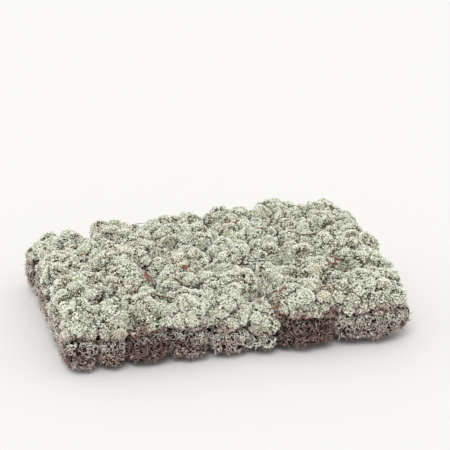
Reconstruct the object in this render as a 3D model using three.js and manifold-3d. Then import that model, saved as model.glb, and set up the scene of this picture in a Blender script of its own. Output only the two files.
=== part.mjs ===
// A sheet of reindeer lichen, sold as sheet moss: rows of hand-picked cushions packed side by side.
// Each cushion has a pale living head, lobed like a cauliflower, on a dark foot of dead stems.
// Millimetres, +Z up. X runs along the sheet and -Y is its front. The origin is under the sheet's centre.
import * as THREE from "three";
import { ConvexGeometry } from "three/addons/geometries/ConvexGeometry.js";
import { mergeVertices } from "three/addons/utils/BufferGeometryUtils.js";
import Module from "manifold-3d";

// Sizes of the whole sheet, between the middles of its outer lobes.
const SHEET_LONG = 560;
const SHEET_DEEP = 363;
const CUSHION_HEIGHT = 122;
const HEIGHT_SPREAD = 7;

// The sheet thins towards its rear left corner and swells towards its rear right one.
const LEFT_CORNER_REACH = 200;
const LEFT_CORNER_DROP = 37;
const RIGHT_CORNER_REACH = 300;
const RIGHT_CORNER_RISE = 12;

// The front row of cushions from left to right. A drop is how far a cushion's top stays below the
// sheet's, and a foot share is how much of its height is dead stems.
const FRONT_ROW = [
  { width: 46, drop: 13, footShare: 0.48 },
  { width: 44, drop: 17, footShare: 0.48 },
  { width: 68, drop: 9, footShare: 0.48 },
  { width: 66, drop: 11, footShare: 0.5 },
  { width: 67, drop: 9, footShare: 0.4 },
  { width: 45, drop: 35, footShare: 0.36 },
  { width: 92, drop: 10, footShare: 0.52 },
  { width: 132, drop: 7, footShare: 0.5 },
];

// How the rows behind the front are drawn.
const REAR_ROWS = 4;
const REAR_COUNT = 7;
const SECOND_ROW_DROP = 9;
const REAR_WIDTH_SPREAD = 0.34;
const EDGE_JITTER = 5;
const INNER_JITTER = 22;
const INNER_SIDE_JITTER = 9;
const LAYOUT_SEED = 11;

// Heads.
const REAR_FOOT_SHARE = 0.47;
const FOOT_SHARE_SPREAD = 0.16;
const HEAD_WAIST = 12;
const HEAD_SWELL = 1.2;
const INWARD_SWELL = 1.52;
const FRONT_SQUARENESS = 2.45;
const REAR_SQUARENESS = 3.9;
const LOWEST_LOBE = THREE.MathUtils.degToRad(104);
const LOBE_SPACING = 34.5;
const LOBE_SHARE = 0.27;
const LOBE_SPREAD = 0.2;
const LOBE_SIDES = 4;
const LOBE_SHOULDER = 0.72;
const VALLEY_SHARE = 0.73;
const RIM_SHARE = 0.93;
const RIM_BAND = 0.35;
const TOUCHING = 1.6;
const SEAT_SHARE = 0.97;
const LEAST_FREE_SHARE = 0.66;

// Feet at the sheet's edge: levels from the stems' lower ends up to the head, with how far the foot
// fills its dome there and how deep the grooves between its stems are.
const OUTER_FILL = 0.95;
const FOOT_LEVELS = [
  { share: 0, fill: 0.92, groove: 1 },
  { share: 0.34, fill: 1, groove: 1 },
  { share: 0.68, fill: 1.03, groove: 1.2 },
  { share: 1, fill: 1.02, groove: 0.7 },
];
const STEM_SPACING = 13.4;
const STEM_SHIFT = 0.25;
const STEM_DEPTH = 3.4;
const STEM_DEPTH_SPREAD = 0.4;
const STEM_LEAN = 5;
const EDGE_LIFT = 11;
const GROOVE_EXTRA_LIFT = 0.6;

// Feet inside the sheet, tangled into one mat for each row.
const INNER_FILL = 1.3;
const INNER_FOOT_HEIGHT = 46;
const INNER_OVERLAP = 1.2;

// Even turns fill in between the corners of a cushion's cell.
const RIM_TURNS = 8;
const CORNER_CLEARANCE = THREE.MathUtils.degToRad(14);
const CELL_LIMIT = 1.25;

const GAP = 0.4;
const TINY = 1e-6;
const GOLDEN_ANGLE = Math.PI * (3 - Math.sqrt(5));

const LIVING_TIP = new THREE.MeshStandardMaterial({
  name: "living_tips",
  color: 0xc5cbb4,
  roughness: 0.95,
  metalness: 0,
});
const DEAD_STEM = new THREE.MeshStandardMaterial({
  name: "dead_stems",
  color: 0x77635d,
  roughness: 1,
  metalness: 0,
});

const wasm = await Module();
wasm.setup();

// A small seeded generator of numbers from 0 to 1.
function seededDraw(seed) {
  let state = seed;
  return () => {
    state = (state + 0x6d2b79f5) | 0;
    let mixed = Math.imul(state ^ (state >>> 15), 1 | state);
    mixed = (mixed + Math.imul(mixed ^ (mixed >>> 7), 61 | mixed)) ^ mixed;
    return ((mixed ^ (mixed >>> 14)) >>> 0) / 4294967296;
  };
}

// A number spread evenly by share either side of 1.
function around(draw, share) {
  return 1 + share * (2 * draw() - 1);
}

// One row behind the front, its widths drawn unevenly and made to fill the sheet.
function rearRow(draw) {
  const shares = Array.from({ length: REAR_COUNT }, () => around(draw, REAR_WIDTH_SPREAD));
  const total = shares.reduce((sum, share) => sum + share, 0);
  return shares.map((share) => ({
    width: (share / total) * SHEET_LONG,
    drop: 0,
    footShare: REAR_FOOT_SHARE * around(draw, FOOT_SHARE_SPREAD),
  }));
}

// How near a place is to a rear corner: 1 at the corner itself and 0 from the reach on. The side is -1
// for the left corner and 1 for the right one.
function nearRearCorner(x, y, side, reach) {
  const distance = Math.hypot(x - (side * SHEET_LONG) / 2, y - SHEET_DEEP / 2);
  return Math.max(0, 1 - distance / reach);
}

// How high the sheet stands at a place, before each cushion's own difference.
function sheetHeight(x, y) {
  const drop = LEFT_CORNER_DROP * nearRearCorner(x, y, -1, LEFT_CORNER_REACH);
  const rise = RIGHT_CORNER_RISE * nearRearCorner(x, y, 1, RIGHT_CORNER_REACH);
  return CUSHION_HEIGHT - drop + rise;
}

// The cushions, row by row from the front, each with its centre, half sizes and height.
function layOutCushions() {
  const draw = seededDraw(LAYOUT_SEED);
  const rowDepth = SHEET_DEEP / (REAR_ROWS + 1);
  const cushions = [];
  for (let row = 0; row <= REAR_ROWS; row++) {
    const places = row === 0 ? FRONT_ROW : rearRow(draw);
    let left = -SHEET_LONG / 2;
    places.forEach(({ width, drop, footShare }, column) => {
      const endOfRow = column === 0 || column === places.length - 1;
      const outer = row === 0 || row === REAR_ROWS || endOfRow;
      const shift = (jitter) => jitter * (2 * draw() - 1);
      const x = left + width / 2 + (outer ? 0 : shift(INNER_SIDE_JITTER));
      const y = -SHEET_DEEP / 2 + (row + 0.5) * rowDepth + shift(outer ? EDGE_JITTER : INNER_JITTER);
      const lower = row === 1 ? SECOND_ROW_DROP : drop;
      const height = sheetHeight(x, y) - lower + (row === 0 ? 0 : shift(HEIGHT_SPREAD));
      cushions.push({
        x,
        y,
        row,
        column,
        outer,
        halfWidth: width / 2,
        halfDepth: rowDepth / 2,
        squareness: row === 0 ? FRONT_SQUARENESS : REAR_SQUARENESS,
        height,
        footHeight: outer ? footShare * height : INNER_FOOT_HEIGHT,
        seed: 100 * (row + 1) + column,
      });
      left += width;
    });
  }
  return cushions;
}

// Upright planes between a cushion and its neighbours: larger cushions push the plane away.
function wallsOf(cushion, cushions, spare = () => GAP / 2) {
  return cushions
    .filter((other) => other !== cushion)
    .map((other) => {
      const dx = other.x - cushion.x;
      const dy = other.y - cushion.y;
      const apart = Math.hypot(dx, dy);
      const share = cushion.halfWidth ** 2 - other.halfWidth ** 2;
      const reach = (apart ** 2 + share) / (2 * apart);
      return { nx: dx / apart, ny: dy / apart, reach: reach - spare(other) };
    });
}

// How far a ray from the cushion's centre runs before it meets a neighbour's wall.
function wallReach(walls, direction) {
  return walls.reduce((least, wall) => {
    const facing = direction.x * wall.nx + direction.y * wall.ny;
    return facing > TINY ? Math.min(least, wall.reach / facing) : least;
  }, Infinity);
}

// The smooth dome that a cushion would be with no lobes and no neighbours. It swells further towards
// the rows in front and behind, so that no hole is left between two cushions.
function domeReach(cushion, direction) {
  const n = cushion.squareness;
  const rise = cushion.height - cushion.footHeight - HEAD_WAIST;
  const outermost = direction.y < 0 ? cushion.row === 0 : cushion.row === REAR_ROWS;
  const swell = outermost ? HEAD_SWELL : INWARD_SWELL;
  const sum =
    Math.abs(direction.x / (HEAD_SWELL * cushion.halfWidth)) ** n +
    Math.abs(direction.y / (swell * cushion.halfDepth)) ** n +
    Math.abs(direction.z / rise) ** n;
  return sum ** (-1 / n);
}

// The corners where a cell's walls meet, seen from the cushion's centre.
function cellCorners(cushion, walls) {
  const corners = [];
  walls.forEach((first, i) => {
    for (const second of walls.slice(i + 1)) {
      const cross = first.nx * second.ny - first.ny * second.nx;
      if (Math.abs(cross) < TINY) continue;
      const x = (first.reach * second.ny - second.reach * first.ny) / cross;
      const y = (second.reach * first.nx - first.reach * second.nx) / cross;
      const inside = walls.every((wall) => x * wall.nx + y * wall.ny <= wall.reach + TINY);
      const distance = Math.hypot(x, y);
      const level = new THREE.Vector3(x / distance, y / distance, 0);
      if (inside && distance < CELL_LIMIT * domeReach(cushion, level)) corners.push(level);
    }
  });
  return corners;
}

// Level directions square to the walls that bound a cushion's cell.
function wallDirections(walls) {
  return walls
    .map((wall) => ({ level: new THREE.Vector3(wall.nx, wall.ny, 0), reach: wall.reach }))
    .filter(({ level, reach }) => reach < wallReach(walls, level) + TINY)
    .map(({ level }) => level);
}

// Level directions round a cushion, in order: its cell's corners and walls, and even turns between.
function rimDirections(cushion, walls) {
  const corners = cellCorners(cushion, walls);
  for (const level of wallDirections(walls)) {
    if (corners.every((corner) => corner.angleTo(level) > CORNER_CLEARANCE)) corners.push(level);
  }
  const between = Array.from({ length: RIM_TURNS }, (_, k) => {
    const angle = (2 * Math.PI * (k + 0.5)) / RIM_TURNS;
    return new THREE.Vector3(Math.cos(angle), Math.sin(angle), 0);
  }).filter((level) =>
    corners.every((corner) => corner.angleTo(level) > CORNER_CLEARANCE),
  );
  return [...corners, ...between].sort(
    (a, b) => Math.atan2(a.y, a.x) - Math.atan2(b.y, b.x),
  );
}

// Directions spread evenly over the dome, one for each lobe that no neighbour covers.
function makeLobes(cushion, walls) {
  const draw = seededDraw(cushion.seed);
  const rise = cushion.height - cushion.footHeight - HEAD_WAIST;
  const across = HEAD_SWELL * Math.sqrt(cushion.halfWidth * cushion.halfDepth);
  const capShare = 1 - Math.cos(LOWEST_LOBE);
  const capArea = 2 * Math.PI * capShare * ((across + rise) / 2) ** 2;
  const count = Math.round(capArea / (0.866 * LOBE_SPACING ** 2));
  const turn = 2 * Math.PI * draw();
  const lobes = [];
  for (let k = 0; k < count; k++) {
    const polar = Math.acos(1 - ((k + 0.5) / count) * capShare);
    const towards = new THREE.Vector3().setFromSphericalCoords(1, polar, turn + k * GOLDEN_ANGLE);
    const direction = new THREE.Vector3(towards.z, towards.x, towards.y);
    const dome = domeReach(cushion, direction);
    const radius = LOBE_SHARE * dome * around(draw, LOBE_SPREAD);
    if (wallReach(walls, direction) < LEAST_FREE_SHARE * dome) continue;
    lobes.push({ direction, radius, distance: dome - radius });
  }
  return lobes;
}

// How much of the dome is left in a valley. Valleys run out towards the rim, flush with the foot.
function valleyShare(direction) {
  const nearRim = Math.max(0, 1 - Math.abs(direction.z) / RIM_BAND);
  return VALLEY_SHARE + (RIM_SHARE - VALLEY_SHARE) * nearRim;
}

// The head's reach in a direction: the furthest lobe that the ray meets, or the valley between lobes.
function lobedReach(cushion, lobes, direction) {
  let reach = valleyShare(direction) * domeReach(cushion, direction);
  for (const { direction: towards, radius, distance } of lobes) {
    const along = distance * direction.dot(towards);
    const inside = radius ** 2 - distance ** 2 + along ** 2;
    if (inside > 0 && along > 0) reach = Math.max(reach, along + Math.sqrt(inside));
  }
  return reach;
}

// Directions of a lobe's top and of the shoulder round it.
function lobeDirections({ direction, radius, distance }) {
  const side = new THREE.Vector3(0, 0, 1).cross(direction);
  if (side.lengthSq() < 1e-4) side.set(1, 0, 0);
  side.normalize();
  const slope = (LOBE_SHOULDER * radius) / (distance + radius);
  const shoulder = Array.from({ length: LOBE_SIDES }, (_, k) => {
    const outward = side.clone().applyAxisAngle(direction, (2 * Math.PI * k) / LOBE_SIDES);
    return outward.multiplyScalar(slope).add(direction).normalize();
  });
  return [direction.clone(), ...shoulder];
}

// Directions of the valleys: between each two lobes that touch, and in the middle of each three.
function valleyDirections(lobes) {
  const hull = new ConvexGeometry(lobes.map((lobe) => lobe.direction)).getAttribute("position");
  const valleys = [];
  const touch = (a, b) => {
    const distance = lobes.find((lobe) => lobe.direction.distanceTo(a) < TINY).distance;
    return a.angleTo(b) < (TOUCHING * LOBE_SPACING) / distance;
  };
  for (let i = 0; i < hull.count; i += 3) {
    const [a, b, c] = [0, 1, 2].map((k) => new THREE.Vector3().fromBufferAttribute(hull, i + k));
    if (touch(a, b) && touch(b, c) && touch(c, a)) {
      valleys.push(a.clone().add(b).add(c).normalize());
    }
    for (const [from, to] of [[a, b], [b, c], [c, a]]) {
      const between = from.clone().add(to).normalize();
      const known = valleys.some((valley) => valley.distanceTo(between) < TINY);
      if (touch(from, to) && !known) valleys.push(between);
    }
  }
  return valleys;
}

// Unit directions for all of the head's vertices, down to its seat on the foot.
function headDirections(cushion, walls, lobes) {
  const directions = [...lobes.flatMap(lobeDirections), ...valleyDirections(lobes)];
  for (const level of rimDirections(cushion, walls)) {
    const reach = Math.min(domeReach(cushion, level), wallReach(walls, level));
    directions.push(level.clone());
    directions.push(level.multiplyScalar(SEAT_SHARE * reach).setZ(-HEAD_WAIST).normalize());
  }
  directions.push(new THREE.Vector3(0, 0, -1));
  return directions;
}

// A closed body with a vertex for each direction, put where place says.
function starBody(directions, place) {
  const geometry = new ConvexGeometry(directions);
  const position = geometry.getAttribute("position");
  const direction = new THREE.Vector3();
  for (let i = 0; i < position.count; i++) {
    direction.fromBufferAttribute(position, i);
    const point = place(direction);
    position.setXYZ(i, point.x, point.y, point.z);
  }
  geometry.deleteAttribute("normal");
  return mergeVertices(geometry, 1e-4);
}

// The pale living head of a cushion. Its flat seat is at z = 0 of its own frame.
function makeHead(cushion, cushions) {
  const walls = wallsOf(cushion, cushions);
  const lobes = makeLobes(cushion, walls);
  const directions = headDirections(cushion, walls, lobes);
  return starBody(directions, (direction) => {
    const reach = Math.min(
      lobedReach(cushion, lobes, direction),
      wallReach(walls, direction),
    );
    if (direction.z < 0 && reach * -direction.z > HEAD_WAIST) {
      const scale = HEAD_WAIST / -direction.z;
      return new THREE.Vector3(direction.x * scale, direction.y * scale, 0);
    }
    const point = direction.clone().multiplyScalar(reach);
    point.z += HEAD_WAIST;
    return point;
  });
}

// A closed body from rings of points, lowest first, with as many points in each.
function ringBody(rings, lowCentre, highCentre) {
  const sides = rings[0].length;
  const points = [...rings.flat(), lowCentre, highCentre];
  const low = points.length - 2;
  const high = points.length - 1;
  const top = (rings.length - 1) * sides;
  const index = [];
  for (let k = 0; k < sides; k++) {
    const next = (k + 1) % sides;
    index.push(low, next, k, high, top + k, top + next);
    for (let ring = 0; ring < rings.length - 1; ring++) {
      const a = ring * sides + k;
      const b = ring * sides + next;
      index.push(a, b, b + sides, a, b + sides, a + sides);
    }
  }
  return new THREE.BufferGeometry().setFromPoints(points).setIndex(index);
}

function solidOf(geometry) {
  return new wasm.Manifold(
    new wasm.Mesh({
      numProp: 3,
      vertProperties: new Float32Array(geometry.getAttribute("position").array),
      triVerts: new Uint32Array(geometry.getIndex().array),
    }),
  );
}

function geometryOf(solid) {
  const { vertProperties, triVerts } = solid.getMesh();
  return new THREE.BufferGeometry()
    .setAttribute("position", new THREE.BufferAttribute(vertProperties, 3))
    .setIndex(new THREE.BufferAttribute(triVerts, 1));
}

// The level directions of a foot's side. On its open side they alternate between stems and grooves.
function footDirections(cushion, walls, draw) {
  const girth = Math.PI * HEAD_SWELL * (cushion.halfWidth + cushion.halfDepth);
  const stems = Math.round(girth / STEM_SPACING);
  const open = Array.from({ length: 2 * stems }, (_, k) => {
    const angle = (Math.PI * (k + STEM_SHIFT * (2 * draw() - 1))) / stems;
    const level = new THREE.Vector3(Math.cos(angle), Math.sin(angle), 0);
    return { level, angle, stem: k % 2 === 0 };
  }).filter(({ level }) => wallReach(walls, level) > domeReach(cushion, level));
  const closed = rimDirections(cushion, walls)
    .filter((level) => open.every((side) => side.level.angleTo(level) > CORNER_CLEARANCE / 2))
    .map((level) => ({ level, angle: Math.atan2(level.y, level.x), stem: null }));
  const turn = (side) => (side.angle + 2 * Math.PI) % (2 * Math.PI);
  return [...open, ...closed].sort((a, b) => turn(a) - turn(b));
}

// The foot of a cushion at the sheet's edge: dead stems stand out all over its open side, and their
// lower ends hang ragged, clear of the ground. Its middle rests on the ground.
function makeOuterFoot(cushion, cushions) {
  const draw = seededDraw(cushion.seed + 50);
  const walls = wallsOf(cushion, cushions);
  const alongFront = cushion.row === 0 ? 1 + cushion.x / SHEET_LONG : 1;
  const sides = footDirections(cushion, walls, draw).map(({ level, stem }) => {
    if (stem === null) return { level, relief: 0, lift: 0 };
    const above = stem ? draw() : 1 + GROOVE_EXTRA_LIFT * draw();
    return { level, relief: stem ? STEM_DEPTH : -STEM_DEPTH, lift: EDGE_LIFT * alongFront * above };
  });
  const rings = FOOT_LEVELS.map(({ share, fill, groove }) =>
    sides.map(({ level, relief, lift }) => {
      const depth = groove * relief * around(draw, STEM_DEPTH_SPREAD);
      const reach = OUTER_FILL * fill * domeReach(cushion, level) + depth;
      const lean = relief && share < 1 ? STEM_LEAN * (draw() - 0.5) : 0;
      const out = Math.min(reach, wallReach(walls, level) - Math.abs(lean));
      const point = level.clone().multiplyScalar(out);
      point.addScaledVector(new THREE.Vector3(-level.y, level.x, 0), lean);
      return point.setZ(lift + share * (cushion.footHeight - lift));
    }),
  );
  const low = new THREE.Vector3(0, 0, 0);
  const high = new THREE.Vector3(0, 0, cushion.footHeight);
  return ringBody(rings, low, high);
}

// The feet of a row's inner cushions, whose dead stems have tangled into one mat.
function makeInnerFeet(row, cushions) {
  const isMatted = (cushion) => cushion.row === row && !cushion.outer;
  const spare = (other) => (isMatted(other) ? -INNER_OVERLAP : GAP / 2);
  return cushions
    .filter(isMatted)
    .map((cushion) => {
      const walls = wallsOf(cushion, cushions, spare);
      const sides = rimDirections(cushion, walls);
      const rings = [0, cushion.footHeight].map((z) =>
        sides.map((level) => {
          const reach = Math.min(INNER_FILL * domeReach(cushion, level), wallReach(walls, level));
          return new THREE.Vector3(level.x * reach, level.y * reach, z);
        }),
      );
      const low = new THREE.Vector3(0, 0, 0);
      const high = new THREE.Vector3(0, 0, cushion.footHeight);
      return solidOf(ringBody(rings, low, high).translate(cushion.x, cushion.y, 0));
    })
    .reduce((mat, foot) => mat.add(foot));
}

function meshOf(name, geometry, material) {
  const mesh = new THREE.Mesh(geometry, material);
  mesh.name = name;
  return mesh;
}

function makeSheet() {
  const cushions = layOutCushions();
  const sheet = new THREE.Group();
  for (const cushion of cushions) {
    const place = `row_${cushion.row + 1}_${cushion.column + 1}`;
    const head = meshOf(`head_${place}`, makeHead(cushion, cushions), LIVING_TIP);
    head.position.set(cushion.x, cushion.y, cushion.footHeight);
    sheet.add(head);
    if (!cushion.outer) continue;
    const foot = meshOf(`foot_${place}`, makeOuterFoot(cushion, cushions), DEAD_STEM);
    foot.position.set(cushion.x, cushion.y, 0);
    sheet.add(foot);
  }
  for (let row = 1; row < REAR_ROWS; row++) {
    const feet = geometryOf(makeInnerFeet(row, cushions));
    sheet.add(meshOf(`inner_feet_row_${row + 1}`, feet, DEAD_STEM));
  }
  const middle = new THREE.Box3().setFromObject(sheet).getCenter(new THREE.Vector3());
  for (const mesh of sheet.children) mesh.position.sub(middle.setZ(0));
  return sheet;
}

export default makeSheet();
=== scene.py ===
"""A dressed sheet of reindeer lichen: pale branching heads on dark feet of dead stems, with litter.

Every piece keeps the form of the solid that it stands for. Metres, +Z up, the front towards -Y.
"""

import math
import random

import bmesh
import bpy
from mathutils import Matrix, Vector
from mathutils.bvhtree import BVHTree


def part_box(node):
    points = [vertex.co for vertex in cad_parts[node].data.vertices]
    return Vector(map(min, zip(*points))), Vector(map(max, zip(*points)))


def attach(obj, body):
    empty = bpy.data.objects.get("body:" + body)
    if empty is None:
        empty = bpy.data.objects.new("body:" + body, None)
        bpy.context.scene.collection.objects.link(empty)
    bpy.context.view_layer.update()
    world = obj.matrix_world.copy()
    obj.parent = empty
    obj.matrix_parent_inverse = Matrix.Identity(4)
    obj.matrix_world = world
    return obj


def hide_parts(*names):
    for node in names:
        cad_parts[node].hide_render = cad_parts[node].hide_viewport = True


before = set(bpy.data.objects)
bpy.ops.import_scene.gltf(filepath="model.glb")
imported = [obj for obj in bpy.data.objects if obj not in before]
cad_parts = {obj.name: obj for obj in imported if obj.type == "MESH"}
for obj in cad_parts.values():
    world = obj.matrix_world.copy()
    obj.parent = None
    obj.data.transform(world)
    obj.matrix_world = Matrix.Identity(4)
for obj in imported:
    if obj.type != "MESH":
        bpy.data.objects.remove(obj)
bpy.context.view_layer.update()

MM = 0.001

# Heads: lumps of two sizes, and the branch tips on them. A scale is a noise's repeats in a metre.
TIP_SPACING = 2.48 * MM
TIP_SIZE = 2.05 * MM
TIP_SIZES = (0.65, 1.25)
TIP_KINDS = 8
TIP_LEAN = 0.3
TIP_RISE = 0.15
CURD_SIZE = 23 * MM
CURD_HEIGHT = 9.5 * MM
CURD_BEND = 0.4
BEND_SCALE = 50.0
NUB_SIZE = 9 * MM
NUB_HEIGHT = 2 * MM
LUMP_EDGE = 0.3
LUMP_SUNK = 0.7
SWELL_SCALE = 30.0
SWELL_HEIGHT = 14 * MM
CREASE_WIDTH = 0.3
CREASE_SHARE = 0.5
CORE_DEPTH = 2 * MM
SEAT_FACING = -0.9

# Painted shade, which darkens the tips in the creases: the curds' part in it, the core's share of
# it, and where the painted shade by the walls of other cushions ends.
CURD_SHADE_PART = 0.6
CORE_SHADE_SCALE = 0.4
OPEN_FROM = 0.25
WALL_SHADE = 0.65

# Grooves between the cushions.
WALL_REACH = 1.5 * MM
GROOVE_DEPTH = 12 * MM

# Where a head turns brown: the band above its seat, how ragged the border is, and the crevices.
BROWN_BAND = 24 * MM
RAGGED = 75 * MM
RAGGED_SCALE = 45.0
CREVICE_TO = 0.8
CREVICE_SCALE = 28.0
CREVICE_BROWN = (-0.05, 0.1)

# Feet. Their undersides are drawn in, so that the branches under them lie on the floor. What
# would go below the lowest level is pressed up by most of the way.
LOWEST = 0.5 * MM
PRESSING = 0.9
UNDER_LIFT = 3.5 * MM
UNDER_FACING = -0.75
TOP_FACING = 0.97
SIDE_OPEN = 0.4
ROUGH_SCALE = 110.0
ROUGH_HEIGHT = 11 * MM
CORE_SUNK = 1 * MM
LEAST_HEIGHT = 6 * MM
STRAND_LENGTH = 12 * MM
SIDE_LENGTHS = (0.6, 1.3)
UNDER_LENGTHS = (0.8, 1.4)
STRAND_KINDS = 9
STRAND_DROOP = 0.8
SIDE_SPACING = 4.5 * MM
UNDER_SPACING = 14 * MM
FOOT_TIP_SPACING = 2.6 * MM
FOOT_TIP_SIZES = (0.7, 1.25)
FOOT_TIP_LEAN = 0.7

# Where a foot goes over from pale to dead, measured down from the ragged border.
STRAND_FADE = (-5 * MM, 25 * MM)
STRAND_THINNING = (-4 * MM, 12 * MM)
HIGH_STRAND_SHARE = 0.45
TIP_FADE = (-8 * MM, 14 * MM)
TIP_THINNING = (0.0, 14 * MM)
DEAD_TIP_SHARE = 0.42

# The darkest feet, and how far the pale tips run down some of the feet in front.
DARK_FEET = ("row_1_3", "row_1_7")
MOST_TINT = 0.6
PALE_REACH = {
    "foot_row_1_3": -10 * MM,
    "foot_row_1_5": 8 * MM,
    "foot_row_1_6": 24 * MM,
    "foot_row_1_7": -16 * MM,
    "foot_row_1_8": 10 * MM,
}

# Litter. Places, from the sheet's middle, and sizes given as ranges are in millimetres.
LITTER_REACH = (250 * MM, 160 * MM)
CRUMB_REACH = (260 * MM, 170 * MM)
NEEDLES = 44
NEEDLE_LENGTH = 36 * MM
NEEDLE_RADIUS = 0.6 * MM
NEEDLE_SAG = 1 * MM
TWIGS = 6
TWIG_LENGTH = 45 * MM
TWIG_RADIUS = 1.4 * MM
TWIG_SAG = 3 * MM
CRUMBS = 90
CRUMB_SIZES = ((1.5, 4.5), (1, 2.5), (0.4, 1))
NEST_PLACES = [
    (52, 95),
    (57, -160),
    (112, -120),
    (142, -158),
    (182, -85),
    (-137, -68),
    (-88, -115),
    (-72, -65),
]
LAID_TWIGS = [((-145, 190), (-102, 148)), ((-97, -80), (-88, -128))]
FLAKE_PLACE = (-178, 54)
FLAKE_SIZE = (5.5 * MM, 4.5 * MM, 0.8 * MM)
NEST_BITS = 36
NEST_BIT_REACH = (3, 6.5)
NEST_REACH = 6.5 * MM
MOST_LIFT = 7 * MM

# Patches of colour: how many there are in a metre, and the noise's values at their edges.
FINE_PATCHES = (55.0, 0.38, 0.62)
CREAM_PATCHES = (24.0, 0.5, 0.7)
GREY_PATCHES = (17.0, 0.54, 0.7)
STEM_PATCHES = (16.0, 0.4, 0.6)

# The studio.
FLOOR_SIZE = 6.0
WORLD_LIGHT = 0.92
SUN_LIGHT = 1.75
SUN_SPREAD = math.radians(30)
LENS = 107.2


# Node trees.


class Tree:
    """Builds one node group: adds nodes, feeds their inputs and joins them up."""

    def __init__(self, name, kind, inputs, outputs):
        self.group = bpy.data.node_groups.new(name, kind)
        for way, sockets in (("INPUT", inputs), ("OUTPUT", outputs)):
            for label, (socket, value) in sockets.items():
                made = self.group.interface.new_socket(
                    label, in_out=way, socket_type="NodeSocket" + socket
                )
                if value is not None:
                    made.default_value = value
        self.start = self.group.nodes.new("NodeGroupInput").outputs
        self.end = self.group.nodes.new("NodeGroupOutput").inputs

    def feed(self, socket, value):
        if isinstance(value, bpy.types.NodeSocket):
            self.group.links.new(value, socket)
        else:
            socket.default_value = value

    def node(self, kind, inputs=None, **settings):
        node = self.group.nodes.new(kind)
        for key, value in settings.items():
            setattr(node, key, value)
        for key, value in (inputs or {}).items():
            self.feed(node.inputs[key], value)
        return node

    def add(self, kind, inputs=None, **settings):
        return self.node(kind, inputs, **settings).outputs[0]

    def math(self, operation, *values):
        return self.add("ShaderNodeMath", dict(enumerate(values)), operation=operation)

    def vector(self, operation, *values):
        return self.add("ShaderNodeVectorMath", dict(enumerate(values)), operation=operation)

    def scaled(self, vector, scale):
        return self.add("ShaderNodeVectorMath", {0: vector, "Scale": scale}, operation="SCALE")

    def product(self, first, *others):
        for other in others:
            first = self.math("MULTIPLY", first, other)
        return first

    def z_of(self, vector):
        return self.node("ShaderNodeSeparateXYZ", {0: vector}).outputs["Z"]

    def ramp(self, value, low, high, to_low=0.0, to_high=1.0):
        """A soft step between two limits. ramp_straight is the same without the softness."""
        return self.add(
            "ShaderNodeMapRange",
            {0: value, 1: low, 2: high, 3: to_low, 4: to_high},
            interpolation_type="SMOOTHSTEP",
        )

    def ramp_straight(self, value, low, high, to_low=0.0, to_high=1.0):
        return self.add("ShaderNodeMapRange", {0: value, 1: low, 2: high, 3: to_low, 4: to_high})

    def random(self, low, high, seed):
        return self.node("FunctionNodeRandomValue", {2: low, 3: high, "Seed": seed}).outputs[1]

    def random_vector(self, size, seed):
        limits = {0: (-size,) * 3, 1: (size,) * 3, "Seed": seed}
        return self.add("FunctionNodeRandomValue", limits, data_type="FLOAT_VECTOR")

    def store(self, geometry, **values):
        """Stores values on a geometry's points, each under its own name."""
        for name, value in values.items():
            geometry = self.add(
                "GeometryNodeStoreNamedAttribute",
                {"Geometry": geometry, "Name": name, "Value": value},
                data_type="FLOAT",
                domain="POINT",
            )
        return geometry

    def named(self, name):
        return self.add("GeometryNodeInputNamedAttribute", {"Name": name}, data_type="FLOAT")

    def join(self, *geometries):
        node = self.group.nodes.new("GeometryNodeJoinGeometry")
        for geometry in geometries:
            self.group.links.new(geometry, node.inputs[0])
        return node.outputs[0]


def scatter(tree, surface, spacing, share, kinds, seed):
    """Points spread evenly over a surface, with the variants to set on them."""
    points = tree.node(
        "GeometryNodeDistributePointsOnFaces",
        {
            "Mesh": surface,
            "Distance Min": spacing,
            "Density Max": tree.math("DIVIDE", 5.0, tree.product(spacing, spacing)),
            "Density Factor": share,
            "Seed": seed,
        },
        distribute_method="POISSON",
    )
    variants = tree.add(
        "GeometryNodeCollectionInfo",
        {"Collection": kinds, "Separate Children": True, "Reset Children": True},
    )
    return points.outputs["Points"], points.outputs["Normal"], variants


def set_on(tree, points, variants, rotation, scale):
    """The variants set on the points, each picked at random, as real geometry."""
    placed = tree.add(
        "GeometryNodeInstanceOnPoints",
        {
            "Points": points,
            "Instance": variants,
            "Pick Instance": True,
            "Rotation": rotation,
            "Scale": scale,
        },
    )
    return tree.add("GeometryNodeRealizeInstances", {"Geometry": placed})


def spun(tree, rotation, seed):
    """A rotation with a random turn about its own Z axis."""
    turn = tree.add(
        "FunctionNodeAxisAngleToRotation",
        {"Axis": (0, 0, 1), "Angle": tree.random(0.0, 2 * math.pi, seed)},
    )
    return tree.add(
        "FunctionNodeRotateRotation",
        {"Rotation": rotation, "Rotate By": turn},
        rotation_space="LOCAL",
    )


def lumps(tree, place, size):
    """Rounded lumps: how far each place is from the crease (0 to 1), and the lump's middle."""
    inputs = {"Vector": place, "Scale": tree.math("DIVIDE", 1.0, size), "Randomness": 1.0}
    middle = tree.node("ShaderNodeTexVoronoi", inputs).outputs["Position"]
    edge = tree.add("ShaderNodeTexVoronoi", inputs, feature="DISTANCE_TO_EDGE")
    return tree.ramp_straight(edge, 0.0, LUMP_EDGE), middle


def domed(tree, clear):
    """The height of a round lump, from 0 in the crease to 1 on top."""
    across = tree.math("SUBTRACT", 1.0, clear)
    return tree.math("SQRT", tree.math("SUBTRACT", 1.0, tree.product(across, across)))


def wave(tree, place, scale, size):
    """Soft noise either side of zero."""
    noise = tree.add("ShaderNodeTexNoise", {"Vector": place, "Scale": scale, "Detail": 2.0})
    return tree.product(tree.math("SUBTRACT", noise, 0.5), size)


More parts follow.
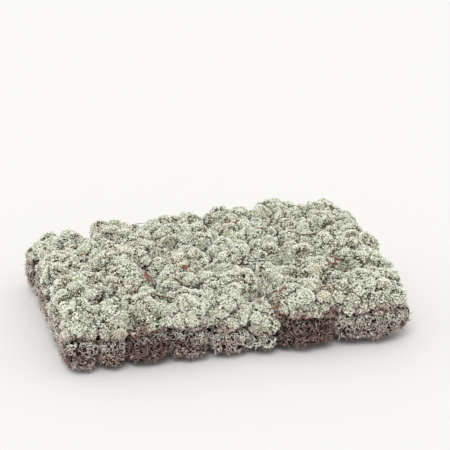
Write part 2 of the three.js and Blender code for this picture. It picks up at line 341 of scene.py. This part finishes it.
def head_tree(core_material, tip_material):
    """Lumps a head's surface and covers its open side with branch tips."""
    tree = Tree(
        "Lichen head",
        "GeometryNodeTree",
        {
            "Geometry": ("Geometry", None),
            "Tips": ("Collection", None),
            "Tip Spacing": ("Float", TIP_SPACING),
            "Tip Size": ("Float", TIP_SIZE),
            "Curd Size": ("Float", CURD_SIZE),
            "Curd Height": ("Float", CURD_HEIGHT),
            "Nub Size": ("Float", NUB_SIZE),
            "Nub Height": ("Float", NUB_HEIGHT),
            "Seat": ("Float", 0.0),
            "Tint": ("Float", 0.5),
            "Seed": ("Int", 0),
        },
        {"Geometry": ("Geometry", None)},
    )
    start = tree.start
    position = tree.add("GeometryNodeInputPosition")
    normal = tree.add("GeometryNodeInputNormal")
    is_open = tree.named("open")

    # Curds stand on a slow swell, and both fade out towards the walls of other cushions.
    bend = tree.node("ShaderNodeTexNoise", {"Vector": position, "Scale": BEND_SCALE})
    bent = tree.vector("ADD", position, tree.scaled(bend.outputs["Color"], CURD_BEND * CURD_SIZE))
    curd, _ = lumps(tree, bent, start["Curd Size"])
    rise = tree.product(tree.math("SUBTRACT", domed(tree, curd), LUMP_SUNK), start["Curd Height"])
    rise = tree.math("ADD", rise, wave(tree, position, SWELL_SCALE, SWELL_HEIGHT))
    lift = tree.scaled(normal, tree.product(rise, is_open))
    plain = tree.add("GeometryNodeSubdivideMesh", {"Mesh": start["Geometry"], "Level": 1})
    plain = tree.store(plain, curd=curd)
    soft = tree.add("GeometryNodeSubdivisionSurface", {"Mesh": plain, "Level": 2})
    soft = tree.add("GeometryNodeSetPosition", {"Geometry": soft, "Offset": lift})

    # Tips cover all of the open side. There are fewer of them in the creases.
    reached = tree.product(
        tree.math("GREATER_THAN", is_open, OPEN_FROM),
        tree.math("GREATER_THAN", tree.z_of(normal), SEAT_FACING),
        tree.ramp_straight(curd, 0.0, CREASE_WIDTH, CREASE_SHARE, 1.0),
    )
    points, outward, variants = scatter(
        tree, soft, start["Tip Spacing"], reached, start["Tips"], start["Seed"]
    )

    # Brown runs up from the seat with a ragged border, and fills some of the crevices.
    height = tree.math("SUBTRACT", tree.z_of(position), start["Seat"])
    height = tree.math("ADD", height, wave(tree, position, RAGGED_SCALE, RAGGED))
    crevice = tree.product(
        tree.ramp(is_open, OPEN_FROM, CREVICE_TO, 1.0, 0.0),
        tree.ramp(wave(tree, position, CREVICE_SCALE, 1.0), *CREVICE_BROWN),
    )
    low = tree.math("MAXIMUM", tree.ramp(height, 0.0, BROWN_BAND, 1.0, 0.0), crevice)

    # Nubs: within each one the tips fan out from its middle.
    nub, middle = lumps(tree, position, start["Nub Size"])
    depth = tree.product(tree.math("SUBTRACT", domed(tree, nub), LUMP_SUNK), start["Nub Height"])
    fan = tree.vector("DIVIDE", tree.vector("SUBTRACT", position, middle), (NUB_SIZE,) * 3)
    # Painted shade: the tips are darker in the creases between curds and nubs, and darkest near the
    # walls of other cushions.
    crown = tree.math(
        "ADD",
        tree.product(tree.named("curd"), CURD_SHADE_PART),
        tree.product(nub, 1.0 - CURD_SHADE_PART),
    )
    crown = tree.product(crown, tree.ramp(is_open, OPEN_FROM, WALL_SHADE, 0.1, 1.0))
    points = tree.store(
        points, low=low, shade=tree.random(0.0, 1.0, 1), tint=start["Tint"], crown=crown
    )
    towards = tree.vector("ADD", outward, fan)
    towards = tree.vector("ADD", towards, tree.random_vector(TIP_LEAN, 2))
    towards = tree.vector("ADD", towards, (0.0, 0.0, TIP_RISE))
    rotation = tree.add("FunctionNodeAlignRotationToVector", {"Vector": towards}, axis="Z")
    scale = tree.product(start["Tip Size"], tree.random(*TIP_SIZES, 3))
    points = tree.add(
        "GeometryNodeSetPosition", {"Geometry": points, "Offset": tree.scaled(outward, depth)}
    )
    tips = set_on(tree, points, variants, spun(tree, rotation, 4), scale)
    tips = tree.add("GeometryNodeSetMaterial", {"Geometry": tips, "Material": tip_material})

    # The core is the same surface, a little further in, so that no gap between the tips is bare.
    # The core takes the dark pit colour, with more painted shade in the creases, so that the gaps
    # between the tips look shaded.
    core = tree.store(plain, crown=tree.product(curd, CORE_SHADE_SCALE), low=low, tint=start["Tint"])
    inward = tree.scaled(normal, tree.product(is_open, -CORE_DEPTH))
    core = tree.add(
        "GeometryNodeSetPosition", {"Geometry": core, "Offset": tree.vector("ADD", lift, inward)}
    )
    core = tree.add("GeometryNodeSetShadeSmooth", {"Geometry": core})
    core = tree.add("GeometryNodeSetMaterial", {"Geometry": core, "Material": core_material})
    tree.feed(tree.end["Geometry"], tree.join(core, tips))
    return tree.group


def lie_along(tree, direction, outward):
    """A rotation that lays a shape's Z axis along the surface and turns its X axis outwards."""
    through = tree.node("ShaderNodeVectorMath", {0: direction, 1: outward}, operation="DOT_PRODUCT")
    along = tree.vector(
        "SUBTRACT", direction, tree.scaled(outward, through.outputs["Value"])
    )
    return tree.add(
        "FunctionNodeAxesToRotation",
        {"Primary Axis": along, "Secondary Axis": outward},
        primary_axis="Z",
        secondary_axis="X",
    )


def foot_tree(core_material, strand_material, tip_material):
    """Roughens a foot and covers its open sides and its underside with dead branches."""
    tree = Tree(
        "Lichen foot",
        "GeometryNodeTree",
        {
            "Geometry": ("Geometry", None),
            "Strands": ("Collection", None),
            "Tips": ("Collection", None),
            "Side Spacing": ("Float", SIDE_SPACING),
            "Under Spacing": ("Float", UNDER_SPACING),
            "Tip Spacing": ("Float", FOOT_TIP_SPACING),
            "Strand Length": ("Float", STRAND_LENGTH),
            "Tip Size": ("Float", TIP_SIZE),
            "Seat": ("Float", 0.05),
            "Tint": ("Float", 0.5),
            "Side Share": ("Float", 1.0),
            "Pale Reach": ("Float", 0.0),
            "Seed": ("Int", 0),
        },
        {"Geometry": ("Geometry", None)},
    )
    start = tree.start
    position = tree.add("GeometryNodeInputPosition")
    normal = tree.add("GeometryNodeInputNormal")
    facing = tree.z_of(normal)
    height = tree.z_of(position)

    # The core is rough, a little sunk, and drawn in from below.
    drawn_in = tree.product(tree.math("MINIMUM", facing, 0.0), UNDER_LIFT)
    rough = wave(tree, position, ROUGH_SCALE, ROUGH_HEIGHT)
    rough = tree.math("ADD", tree.math("SUBTRACT", rough, CORE_SUNK), drawn_in)
    core = tree.add("GeometryNodeSubdivisionSurface", {"Mesh": start["Geometry"], "Level": 1})
    core = tree.add(
        "GeometryNodeSetPosition", {"Geometry": core, "Offset": tree.scaled(normal, rough)}
    )

    # How far below the ragged border between pale and dead each place lies.
    below_seat = tree.math("SUBTRACT", start["Seat"], height)
    ragged = tree.math("ADD", below_seat, wave(tree, position, RAGGED_SCALE, RAGGED))
    ragged = tree.math("SUBTRACT", ragged, start["Pale Reach"])
    share = tree.product(
        tree.math("GREATER_THAN", tree.named("open"), SIDE_OPEN),
        tree.product(
            tree.math("GREATER_THAN", facing, UNDER_FACING),
            tree.math("LESS_THAN", facing, TOP_FACING),
        ),
        start["Side Share"],
    )

    # Strands hang down the sides. Those near the floor are raised clear of it.
    thinned = tree.product(share, tree.ramp(ragged, *STRAND_THINNING, HIGH_STRAND_SHARE, 1.0))
    side, outward, variants = scatter(
        tree, core, start["Side Spacing"], thinned, start["Strands"], start["Seed"]
    )
    side = tree.store(
        side,
        shade=tree.random(0.0, 1.0, 1),
        low=tree.ramp(ragged, *STRAND_FADE),
        tint=start["Tint"],
    )
    raised = tree.math("MAXIMUM", tree.math("SUBTRACT", LEAST_HEIGHT, height), 0.0)
    raised = tree.add("ShaderNodeCombineXYZ", {"Z": raised})
    side = tree.add("GeometryNodeSetPosition", {"Geometry": side, "Offset": raised})
    upward = tree.vector("ADD", (0.0, 0.0, STRAND_DROOP), tree.random_vector(1.0, 2))
    scale = tree.product(start["Strand Length"], tree.random(*SIDE_LENGTHS, 3))
    hanging = set_on(tree, side, variants, lie_along(tree, upward, outward), scale)

    # Strands lie flat under the foot.
    under, outward, variants = scatter(
        tree,
        core,
        start["Under Spacing"],
        tree.math("LESS_THAN", facing, UNDER_FACING),
        start["Strands"],
        start["Seed"],
    )
    under = tree.store(under, shade=tree.random(0.0, 0.7, 5), low=1.0, tint=start["Tint"])
    anyway = tree.vector("MULTIPLY", tree.random_vector(1.0, 6), (1.0, 1.0, 0.0))
    scale = tree.product(start["Strand Length"], tree.random(*UNDER_LENGTHS, 7))
    lying = set_on(tree, under, variants, lie_along(tree, anyway, (0.0, 0.0, -1.0)), scale)
    strands = tree.add(
        "GeometryNodeSetMaterial",
        {"Geometry": tree.join(hanging, lying), "Material": strand_material},
    )

    # Tips stand between the strands: dense and pale above the border, sparse and dead below it.
    thinned = tree.product(share, tree.ramp(ragged, *TIP_THINNING, 1.0, DEAD_TIP_SHARE))
    fringe, outward, variants = scatter(
        tree, core, start["Tip Spacing"], thinned, start["Tips"], start["Seed"]
    )
    fringe = tree.store(
        fringe,
        low=tree.ramp(ragged, *TIP_FADE, 0.1, 1.0),
        shade=tree.random(0.0, 1.0, 8),
        crown=tree.random(0.2, 1.0, 9),
        tint=start["Tint"],
    )
    towards = tree.vector("ADD", outward, tree.random_vector(FOOT_TIP_LEAN, 10))
    rotation = tree.add("FunctionNodeAlignRotationToVector", {"Vector": towards}, axis="Z")
    scale = tree.product(start["Tip Size"], tree.random(*FOOT_TIP_SIZES, 11))
    tips = set_on(tree, fringe, variants, spun(tree, rotation, 12), scale)
    tips = tree.add("GeometryNodeSetMaterial", {"Geometry": tips, "Material": tip_material})

    # What would go through the floor is pressed flat against it.
    # The core is painted near-black, as the shade deep in the tangle of dead stems.
    core = tree.add("GeometryNodeSetMaterial", {"Geometry": core, "Material": core_material})
    below = tree.math("MAXIMUM", tree.math("SUBTRACT", LOWEST, height), 0.0)
    pressed = tree.add("ShaderNodeCombineXYZ", {"Z": tree.product(below, PRESSING)})
    whole = tree.add(
        "GeometryNodeSetPosition",
        {"Geometry": tree.join(core, strands, tips), "Offset": pressed},
    )
    tree.feed(tree.end["Geometry"], whole)
    return tree.group


def grow(name, mesh, group, **values):
    """Runs a node tree on a mesh. The result is a plain object with no modifier."""
    source = bpy.data.objects.new(name + "_source", mesh)
    bpy.context.scene.collection.objects.link(source)
    modifier = source.modifiers.new("grow", "NODES")
    modifier.node_group = group
    for item in group.interface.items_tree:
        key = item.name.replace(" ", "_").lower()
        if item.in_out == "INPUT" and key in values:
            modifier[item.identifier] = values[key]
    bpy.context.view_layer.update()
    evaluated = source.evaluated_get(bpy.context.evaluated_depsgraph_get())
    made = bpy.data.meshes.new_from_object(evaluated)
    bpy.data.objects.remove(source)
    made.name = name
    piece = bpy.data.objects.new(name, made)
    bpy.context.scene.collection.objects.link(piece)
    return piece


# Materials.


def colour_of(code):
    """A linear colour from six hexadecimal digits of sRGB."""
    parts = [int(code[i : i + 2], 16) / 255 for i in (0, 2, 4)]
    return tuple(p / 12.92 if p < 0.04045 else ((p + 0.055) / 1.055) ** 2.4 for p in parts) + (1.0,)


def mixed(tree, factor, first, second):
    """The first colour going over to the second as the factor goes from 0 to 1."""
    node = tree.node("ShaderNodeMix", {0: factor, 6: first, 7: second}, data_type="RGBA")
    return node.outputs[2]


def attribute(tree, name):
    return tree.node("ShaderNodeAttribute", attribute_name=name).outputs["Fac"]


def patches(tree, scale, low, high):
    """Soft patches over the whole sheet, from 0 to 1."""
    place = tree.node("ShaderNodeTexCoord").outputs["Object"]
    noise = tree.add("ShaderNodeTexNoise", {"Vector": place, "Scale": scale, "Detail": 3.0})
    return tree.ramp(noise, low, high)


def lichen_colour():
    """The colour of branch tips, from the pits between them out to their ends, with painted shade
    in the pits, on the core and in the creases.
    """
    tree = Tree("Lichen colour", "ShaderNodeTree", {}, {"Color": ("Color", None)})
    # Painted shade: the ends darken in the creases, and the pits between the prongs and the core
    # are darker still.
    crown = tree.ramp(attribute(tree, "crown"), 0.05, 0.4)
    sage = mixed(tree, patches(tree, *FINE_PATCHES), colour_of("e5e8dc"), colour_of("eeefe5"))
    cream = mixed(tree, patches(tree, *CREAM_PATCHES), sage, colour_of("ebe7d8"))
    grey = mixed(tree, patches(tree, *GREY_PATCHES), cream, colour_of("d9dccb"))
    worn = tree.product(attribute(tree, "shade"), 0.25)
    worn = mixed(tree, worn, grey, colour_of("cdcebb"))
    tinted = tree.product(attribute(tree, "tint"), 0.15)
    tinted = mixed(tree, tinted, worn, colour_of("ccd1be"))
    sunk = mixed(tree, crown, colour_of("a09d86"), tinted)
    pit = mixed(tree, crown, colour_of("37321f"), colour_of("a9aa8d"))
    end = tree.ramp(attribute(tree, "tip"), 0.0, 0.6)
    living = mixed(tree, end, pit, sunk)
    rosy = mixed(tree, attribute(tree, "tint"), colour_of("f4e6dd"), colour_of("c2a89e"))
    faded = tree.product(attribute(tree, "shade"), 0.8)
    faded = mixed(tree, faded, rosy, colour_of("654b43"))
    dead = mixed(tree, end, colour_of("2f1f1a"), faded)
    tree.feed(tree.end["Color"], mixed(tree, attribute(tree, "low"), living, dead))
    return tree.group


def stem_colour():
    """The colour of dead branches: dark at the root as painted shade deep in the tangle, paler and
    pinkish towards the free end.
    """
    tree = Tree("Dead stem colour", "ShaderNodeTree", {}, {"Color": ("Color", None)})
    tint = attribute(tree, "tint")
    dark = mixed(tree, patches(tree, *STEM_PATCHES), colour_of("3a231b"), colour_of("8a6b62"))
    dark = mixed(tree, tint, dark, colour_of("271510"))
    pale = mixed(tree, patches(tree, *STEM_PATCHES), colour_of("d2b9ab"), colour_of("fdf3ec"))
    pale = mixed(tree, tint, pale, colour_of("ad9187"))
    share = tree.ramp(attribute(tree, "tip"), 0.0, 0.7)
    share = tree.product(tree.ramp(attribute(tree, "shade"), -0.4, 0.8), share)
    strand = mixed(tree, share, dark, pale)
    high = tree.math("SUBTRACT", 1.0, attribute(tree, "low"))
    tree.feed(tree.end["Color"], mixed(tree, high, strand, colour_of("d6d2c4")))
    return tree.group


def material(name, roughness, group=None, colour=None):
    """A matt material, its colour from a shared group or plain."""
    made = bpy.data.materials.new(name)
    made.use_nodes = True
    nodes = made.node_tree.nodes
    shader = nodes["Principled BSDF"]
    shader.inputs["Roughness"].default_value = roughness
    shader.inputs["Specular IOR Level"].default_value = 0.25
    if group:
        source = nodes.new("ShaderNodeGroup")
        source.node_tree = group
        made.node_tree.links.new(source.outputs[0], shader.inputs["Base Color"])
    else:
        shader.inputs["Base Color"].default_value = colour_of(colour)
    return made


# Small shapes that are set many times.


def mesh_object(name, points, faces, tips):
    """A plain object whose points carry how near they are to a branch's end."""
    mesh = bpy.data.meshes.new(name)
    mesh.from_pydata(points, [], faces)
    mesh.attributes.new("tip", "FLOAT", "POINT").data.foreach_set("value", tips)
    return bpy.data.objects.new(name, mesh)


def star_tip(number, draw):
    """A branch's end: prongs round a small pit, on a root that tapers into the cushion.

    One kind in four has clefts between its prongs, the others are plain three-cornered cups.
    """
    corners = 6 if number % 4 == 0 else 3
    points = [(0, 0, -1.7), (0, 0, -0.3)]
    tips = [0.0, 0.15]
    for k in range(corners):
        angle = 2 * math.pi * k / corners + draw.uniform(-0.25, 0.25)
        is_prong = corners == 3 or k % 2 == 0
        reach = draw.uniform(0.85, 1.3) if is_prong else draw.uniform(0.42, 0.56)
        height = draw.uniform(0.1, 0.8) if is_prong else draw.uniform(-0.1, 0.1)
        points.append((reach * math.cos(angle), reach * math.sin(angle), height))
        tips.append(1.0 if is_prong else 0.6)
    ring = range(2, len(points))
    faces = []
    for k in ring:
        after = 2 + (k - 1) % len(ring)
        faces += [(1, k, after), (0, after, k)]
    return mesh_object(f"tip_{number}", points, faces, tips)


def add_tube(points, faces, tips, path, radii, ends):
    """Adds a three-sided tube that runs to a point. ends gives the tip value at both ends."""
    first = len(points)
    for i, (place, radius) in enumerate(zip(path[:-1], radii)):
        ahead = (path[i + 1] - path[max(i - 1, 0)]).normalized()
        side = ahead.orthogonal().normalized()
        other = ahead.cross(side)
        for k in range(3):
            angle = 2 * math.pi * k / 3
            points.append(place + radius * (math.cos(angle) * side + math.sin(angle) * other))
            tips.append(ends[0] + (ends[1] - ends[0]) * i / (len(path) - 1))
    points.append(path[-1])
    tips.append(ends[1])
    faces.append((first + 2, first + 1, first))
    for ring in range(first, first + 3 * (len(path) - 2), 3):
        for k in range(3):
            a, b = ring + k, ring + (k + 1) % 3
            faces += [(a, b, b + 3), (a, b + 3, a + 3)]
    for k in range(3):
        faces.append((len(points) - 4 + k, len(points) - 4 + (k + 1) % 3, len(points) - 1))


def strand(number, draw):
    """A dead branch one unit long that arches along the surface, with short forks."""
    points, faces, tips = [], [], []
    swing = draw.uniform(0.1, 0.28) * draw.choice((-1, 1))
    phase = draw.uniform(0, math.pi)
    path = []
    for k in range(4):
        turn = math.pi * k / 3
        out = draw.uniform(0.2, 0.34) * math.sin(turn) - 0.06
        path.append(Vector((out, swing * math.sin(1.6 * turn + phase), 0.5 - k / 3)))
    thick = draw.uniform(0.036, 0.054)
    add_tube(points, faces, tips, path, [thick, thick, 0.8 * thick], (0.0, 0.9))
    for k in (1, 2):
        outward = draw.uniform(0.1, 0.24)
        aside = draw.choice((-1, 1)) * draw.uniform(0.1, 0.22)
        away = Vector((outward, aside, -0.1))
        middle = path[k] + away
        end = middle + 0.6 * away + Vector((0.0, 0.0, draw.uniform(-0.2, 0.12)))
        fork = [path[k], middle, end]
        add_tube(points, faces, tips, fork, [0.8 * thick, 0.6 * thick], (0.3, 1.0))
    return mesh_object(f"strand_{number}", points, faces, tips)


def variants_of(name, make, count, seed):
    """A collection of variants of one small shape."""
    draw = random.Random(seed)
    kinds = bpy.data.collections.new(name)
    for number in range(count):
        kinds.objects.link(make(number, draw))
    return kinds


# The sheet.


def merged_copy(node):
    """A copy of a solid's mesh with its split corners joined again."""
    mesh = bpy.data.meshes.new(node.name + "_form")
    shape = bmesh.new()
    shape.from_mesh(node.data)
    bmesh.ops.remove_doubles(shape, verts=shape.verts, dist=1e-6)
    bmesh.ops.recalc_face_normals(shape, faces=shape.faces)
    shape.to_mesh(mesh)
    shape.free()
    for extra in [a.name for a in mesh.attributes if a.name.startswith(("UVMap", "Color"))]:
        mesh.attributes.remove(mesh.attributes[extra])
    return mesh


def same_cushion(first, second):
    """Whether one form is a head and the other one is the foot under it."""
    places = sorted((name.split("row_")[1] for name in (first, second)), key=len)
    return places[1].startswith(places[0]) and first.startswith("head") != second.startswith("head")


def mark_open(mesh, others):
    """Stores where a form is clear of the other cushions: 0 at a point that touches one, else 1.

    Returns how far each point sinks, so that a groove runs between the cushions.
    """
    values, sinks = [], []
    for point in mesh.vertices:
        wall = others.find_nearest(point.co, WALL_REACH)[1]
        along_wall = point.normal - point.normal.dot(wall) * wall if wall else Vector()
        values.append(0.0 if wall else 1.0)
        sinks.append(-GROOVE_DEPTH * along_wall)
    mesh.attributes.new("open", "FLOAT", "POINT").data.foreach_set("value", values)
    return sinks


def tree_of(meshes):
    """A search tree over the faces of several meshes."""
    points, faces = [], []
    for mesh in meshes:
        first = len(points)
        points += [v.co.copy() for v in mesh.vertices]
        faces += [[first + i for i in p.vertices] for p in mesh.polygons]
    return BVHTree.FromPolygons(points, faces)


def build_sheet(materials):
    """Every head and foot, grown from its solid."""
    tips = variants_of("Tips", star_tip, TIP_KINDS, 5)
    strands = variants_of("Strands", strand, STRAND_KINDS, 6)
    heads = head_tree(materials["core"], materials["lichen"])
    feet = foot_tree(materials["tangle_shade"], materials["stem"], materials["lichen"])
    forms = {name: merged_copy(node) for name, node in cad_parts.items()}
    sinks = {}
    for name, mesh in forms.items():
        others = [other for other in forms if other != name and not same_cushion(name, other)]
        sinks[name] = mark_open(mesh, tree_of(forms[other] for other in others))
    draw = random.Random(7)
    grown = []
    for number, (name, mesh) in enumerate(sorted(forms.items())):
        for point, sink in zip(mesh.vertices, sinks[name]):
            point.co += sink
        low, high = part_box(name)
        tint = 1.0 if name.endswith(DARK_FEET) else MOST_TINT * draw.random()
        values = {"tips": tips, "tint": tint, "seed": number}
        if name.startswith("head"):
            piece = grow("lichen_" + name, mesh, heads, seat=low.z, **values)
        else:
            values["side_share"] = 0.0 if name.startswith("inner") else 1.0
            values["pale_reach"] = PALE_REACH.get(name, 0.0)
            piece = grow("lichen_" + name, mesh, feet, seat=high.z, strands=strands, **values)
        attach(piece, "root")
        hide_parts(name)
        grown.append(piece)
    return grown


# Litter.


class Ground:
    """The grown surface, for laying things on it."""

    def __init__(self, pieces):
        depsgraph = bpy.context.evaluated_depsgraph_get()
        self.trees = [BVHTree.FromObject(piece, depsgraph) for piece in pieces]

    def hit(self, origin, direction):
        """Where a ray first meets the surface, or None."""
        hits = [tree.ray_cast(origin, direction) for tree in self.trees]
        near = min((h for h in hits if h[0]), key=lambda h: h[3], default=None)
        return near and near[0]

    def top(self, x, y):
        return self.hit(Vector((x, y, 1.0)), Vector((0, 0, -1)))


def path_between(draw, start, end, sag):
    """Five places from start to end, bent a little."""
    middle = (start + end) / 2 + Vector([sag * draw.uniform(-1, 1) for _ in range(3)])
    return [start, (start + middle) / 2, middle, (end + middle) / 2, end]


def laid_tubes(name, ground, draw, spans, radius, sag):
    """Thin things that lie across the surface, one for each span of two places.

    A span is left out where a bump between its ends would hold the thing up in the air.
    """
    points, faces, tips = [], [], []
    for first, second in spans:
        below = [
            ground.top(*(a + (b - a) * k / 4 for a, b in zip(first, second))) for k in range(5)
        ]
        if None in below:
            continue
        line = [below[0].lerp(below[-1], k / 4) for k in range(5)]
        lift = max(place.z - on_line.z for place, on_line in zip(below, line))
        if lift > MOST_LIFT:
            continue
        thick = radius * draw.uniform(0.7, 1.2)
        rise = Vector((0, 0, 0.7 * lift + thick))
        path = path_between(draw, line[0] + rise, line[-1] + rise, sag)
        add_tube(points, faces, tips, path, [thick] * 3 + [0.7 * thick], (0.0, 1.0))
    return mesh_object(name, points, faces, tips)


def random_spans(draw, count, length):
    """Pairs of places a length apart, anywhere on the sheet."""
    spans = []
    for _ in range(count):
        x, y = (draw.uniform(-reach, reach) for reach in LITTER_REACH)
        turn = draw.uniform(0, math.pi)
        reach = length * draw.uniform(0.3, 0.6)
        dx, dy = reach * math.cos(turn), reach * math.sin(turn)
        spans.append(((x - dx, y - dy), (x + dx, y + dy)))
    return spans


def add_flake(points, faces, tips, draw, middle, turn, size):
    """Adds a small irregular flake."""
    first = len(points)
    for corner in ((1, 0.2, 0), (0.3, 1, 0), (-1, 0.4, 0), (-0.5, -1, 0), (0, 0, 1), (0, 0, -1)):
        offset = Vector([c * s * draw.uniform(0.7, 1.2) for c, s in zip(corner, size)])
        points.append(middle + turn @ offset)
        tips.append(draw.random())
    for k in range(4):
        after = (k + 1) % 4
        faces.append((first + k, first + after, first + 4))
        faces.append((first + after, first + k, first + 5))


def random_turn(draw, tilt):
    spin = Matrix.Rotation(draw.uniform(0, math.pi), 3, "Z")
    return spin @ Matrix.Rotation(draw.uniform(-tilt, tilt), 3, "X")


def crumbs(name, ground, draw):
    """Crumbs of bark scattered over the sheet, and one large flake caught on its front."""
    points, faces, tips = [], [], []
    for _ in range(CRUMBS):
        place = ground.top(*(draw.uniform(-reach, reach) for reach in CRUMB_REACH))
        if place:
            size = [draw.uniform(*limits) * MM for limits in CRUMB_SIZES]
            add_flake(points, faces, tips, draw, place, random_turn(draw, 0.8), size)
    x, z = (value * MM for value in FLAKE_PLACE)
    front = ground.hit(Vector((x, -1.0, z)), Vector((0, 1, 0)))
    if front:
        upright = Matrix.Rotation(math.radians(80), 3, "X")
        add_flake(points, faces, tips, draw, front, upright, FLAKE_SIZE)
    return mesh_object(name, points, faces, tips)


def nests(name, ground, draw):
    """Tangles of short red-brown bits, caught in hollows between the cushions."""
    points, faces, tips = [], [], []
    for place in NEST_PLACES:
        for _ in range(NEST_BITS):
            x, y = (value * MM + draw.gauss(0, NEST_REACH) for value in place)
            turn, reach = draw.uniform(0, math.pi), draw.uniform(*NEST_BIT_REACH) * MM
            dx, dy = reach * math.cos(turn), reach * math.sin(turn)
            middle = ground.top(x, y)
            if middle is None:
                continue
            rise = Vector((0, 0, draw.uniform(0.5, 3) * MM))
            away = Vector((dx, dy, draw.uniform(-2.5, 2.5) * MM))
            path = path_between(draw, middle + rise - away, middle + rise + away, 2 * MM)
            thick = draw.uniform(0.6, 1.0) * MM
            add_tube(points, faces, tips, path, [thick] * 3 + [0.6 * thick], (0.0, 1.0))
    return mesh_object(name, points, faces, tips)


def litter(grown, stuff):
    """Needles, twigs and bits of bark that lie among the heads."""
    ground = Ground(grown)
    draw = random.Random(21)
    twigs = random_spans(draw, TWIGS, TWIG_LENGTH)
    twigs += [tuple(tuple(value * MM for value in place) for place in span) for span in LAID_TWIGS]
    needles = random_spans(draw, NEEDLES, NEEDLE_LENGTH)
    made = {
        "pine_needles": laid_tubes(
            "pine_needles", ground, draw, needles, NEEDLE_RADIUS, NEEDLE_SAG
        ),
        "twigs": laid_tubes("twigs", ground, draw, twigs, TWIG_RADIUS, TWIG_SAG),
        "bark_crumbs": crumbs("bark_crumbs", ground, draw),
        "brown_bits": nests("brown_bits", ground, draw),
    }
    for name, piece in made.items():
        piece.data.materials.append(stuff[name])
        bpy.context.scene.collection.objects.link(piece)
        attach(piece, "root")


# The studio.


def studio():
    """A pale floor, soft light from above and in front, and the camera at the photo's angle."""
    size = FLOOR_SIZE
    corners = [(-size, -size, 0), (size, -size, 0), (size, size, 0), (-size, size, 0)]
    mesh = bpy.data.meshes.new("floor")
    mesh.from_pydata(corners, [], [(0, 1, 2, 3)])
    mesh.materials.append(material("floor_pale", 0.9, colour="d9d8d5"))
    floor = bpy.data.objects.new("floor", mesh)
    bpy.context.scene.collection.objects.link(floor)

    world = bpy.data.worlds.new("studio")
    world.use_nodes = True
    sky = world.node_tree.nodes["Background"].inputs
    sky["Color"].default_value = (1, 1, 1, 1)
    sky["Strength"].default_value = WORLD_LIGHT
    bpy.context.scene.world = world

    sun = bpy.data.lights.new("key", "SUN")
    sun.angle = SUN_SPREAD
    sun.energy = SUN_LIGHT
    lamp = bpy.data.objects.new("key", sun)
    lamp.rotation_euler = Vector((0.45, 0.75, -1.3)).to_track_quat("-Z", "Y").to_euler()
    bpy.context.scene.collection.objects.link(lamp)

    right = Vector((0.95514, -0.29353, 0.03985))
    down = Vector((-0.06899, -0.35123, -0.93375))
    ahead = Vector((0.2881, 0.8891, -0.3557))
    turn = Matrix((right, -down, -ahead)).transposed().to_4x4()
    turn.translation = Vector((-0.6255, -1.975, 0.9465))
    lens = bpy.data.cameras.new("camera")
    lens.lens = LENS
    lens.sensor_width = 36
    lens.clip_start = 0.01
    camera = bpy.data.objects.new("camera", lens)
    camera.matrix_world = turn
    bpy.context.scene.collection.objects.link(camera)
    bpy.context.scene.camera = camera
    bpy.context.scene.view_settings.view_transform = "Standard"


def main():
    lichen = lichen_colour()
    stems = stem_colour()
    grown = build_sheet(
        {
            "lichen": material("lichen_tips", 0.9, lichen),
            "core": material("lichen_core", 1.0, lichen),
            "stem": material("dead_strands", 0.85, stems),
            # The foot core's near-black colour is painted shade inside the tangle.
            "tangle_shade": material("foot_core", 1.0, colour="1f1511"),
        }
    )
    litter(
        grown,
        {
            "pine_needles": material("needle_brown", 0.6, colour="8f6a45"),
            "twigs": material("twig_brown", 0.8, colour="5f4636"),
            "bark_crumbs": material("bark_brown", 0.8, colour="8f5b3c"),
            "brown_bits": material("bits_red_brown", 0.8, colour="85503a"),
        },
    )
    studio()


main()
